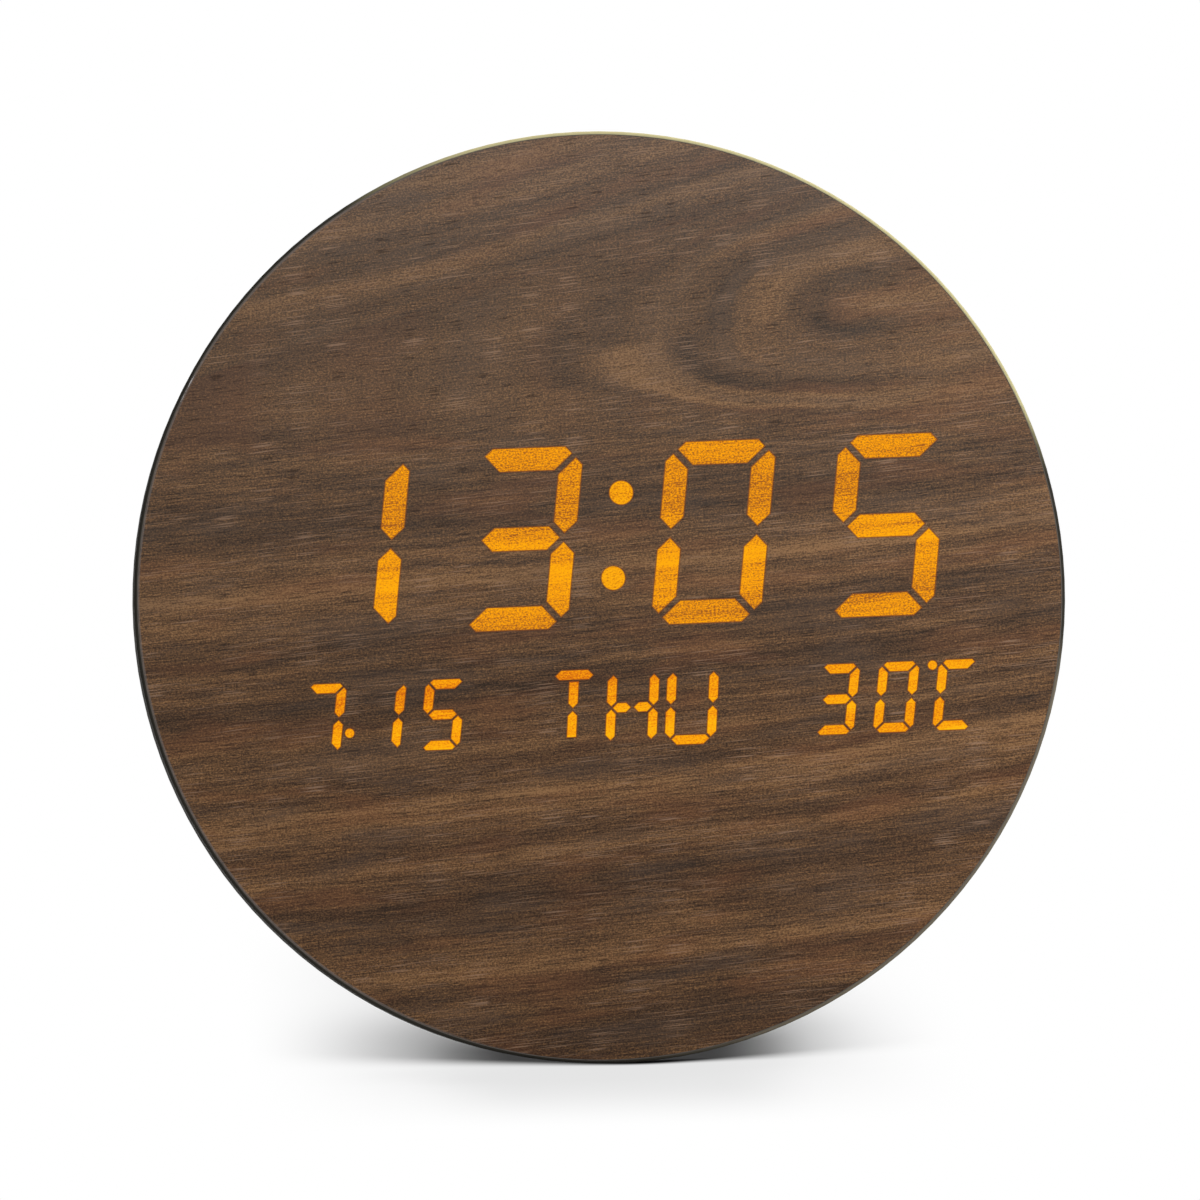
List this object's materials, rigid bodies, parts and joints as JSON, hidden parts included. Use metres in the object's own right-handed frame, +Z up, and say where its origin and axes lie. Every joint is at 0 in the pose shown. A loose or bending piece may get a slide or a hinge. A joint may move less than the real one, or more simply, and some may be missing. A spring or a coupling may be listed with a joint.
{
  "type": "digital desk clock",
  "caption": "Round walnut-faced digital clock with a lit amber readout of time, date, weekday and temperature, leaning on a fold-out easel leg.",
  "frame": {"origin": "middle of the footprint, on the table that the rim and the leg pads stand on", "axes": "+X to the right seen from the front, +Y from the face to the back, +Z up; the face looks along -Y and leans back 15 degrees"},
  "size_m": [0.25, 0.0952, 0.2474],
  "materials": {
    "walnut_film": "satin walnut-grain film",
    "fibreboard": "painted black fibreboard",
    "band": "satin black edge band",
    "time_glow": "lit amber",
    "small_glow": "lit amber",
    "dark_bar": "frosted",
    "mask": "matte white",
    "board": "solder mask",
    "led": "clear resin",
    "screw_steel": "zinc plated",
    "chip": "moulded black",
    "crystal_can": "plain metal can",
    "buzzer_shell": "moulded black",
    "capacitor_can": "sleeved can",
    "sensor_bead": "dipped resin",
    "jack": "moulded black",
    "switch_base": "moulded black",
    "plunger": "moulded natural",
    "button": "fine moulded texture",
    "cover": "fine moulded texture",
    "cover_screw_steel": "blackened",
    "cell_steel": "bright steel",
    "contact_brass": "stamped",
    "door": "fine moulded texture",
    "pin_steel": "drawn wire",
    "leg": "fine moulded texture",
    "pad_rubber": "matte"
  },
  "bodies": {
    "clock": {"veneer_face": "walnut_film", "wood_body": "fibreboard", "edge_band": "band", "hour_tens_bars": "time_glow", "hour_ones_bars": "time_glow", "minute_tens_bars": "time_glow", "minute_ones_bars": "time_glow", "colon_dots": "time_glow", "date_bars": "small_glow", "weekday_bars": "small_glow", "temperature_bars": "small_glow", "dark_bars": "dark_bar", "light_mask": "mask", "display_board": "board", "segment_leds": "led", "board_screws": "screw_steel", "control_chip": "chip", "clock_crystal": "crystal_can", "buzzer": "buzzer_shell", "capacitor": "capacitor_can", "temperature_sensor": "sensor_bead", "dc_jack": "jack", "set_switch": "switch_base", "up_switch": "switch_base", "down_switch": "switch_base", "rear_cover": "cover", "cover_screws": "cover_screw_steel", "backup_cell": "cell_steel", "cell_contacts": "contact_brass", "hinge_pin": "pin_steel"},
    "set_button": {"set_button": "button", "set_plunger": "plunger"},
    "up_button": {"up_button": "button", "up_plunger": "plunger"},
    "down_button": {"down_button": "button", "down_plunger": "plunger"},
    "cell_door": {"cell_door": "door"},
    "stand": {"easel_leg": "leg", "leg_pads": "pad_rubber"}
  },
  "joints": [
    {"name": "stand_fold", "type": "hinge", "parent": "clock", "child": "stand", "pos_m": [0, 0.03102, 0.18945], "axis": [1, 0, 0], "range_deg": [-20, 0]},
    {"name": "set_press", "type": "slide", "parent": "clock", "child": "set_button", "axis": [0, -0.9659, 0.2588], "range_m": [0, 0.0006], "stiffness_N_per_m": 1500},
    {"name": "up_press", "type": "slide", "parent": "clock", "child": "up_button", "axis": [0, -0.9659, 0.2588], "range_m": [0, 0.0006], "stiffness_N_per_m": 1500},
    {"name": "down_press", "type": "slide", "parent": "clock", "child": "down_button", "axis": [0, -0.9659, 0.2588], "range_m": [0, 0.0006], "stiffness_N_per_m": 1500},
    {"name": "door_turn", "type": "hinge", "parent": "clock", "child": "cell_door", "pos_m": [0.064, 0.0121, 0.14047], "axis": [0, 0.9659, -0.2588], "range_deg": [0, 60]}
  ]
}
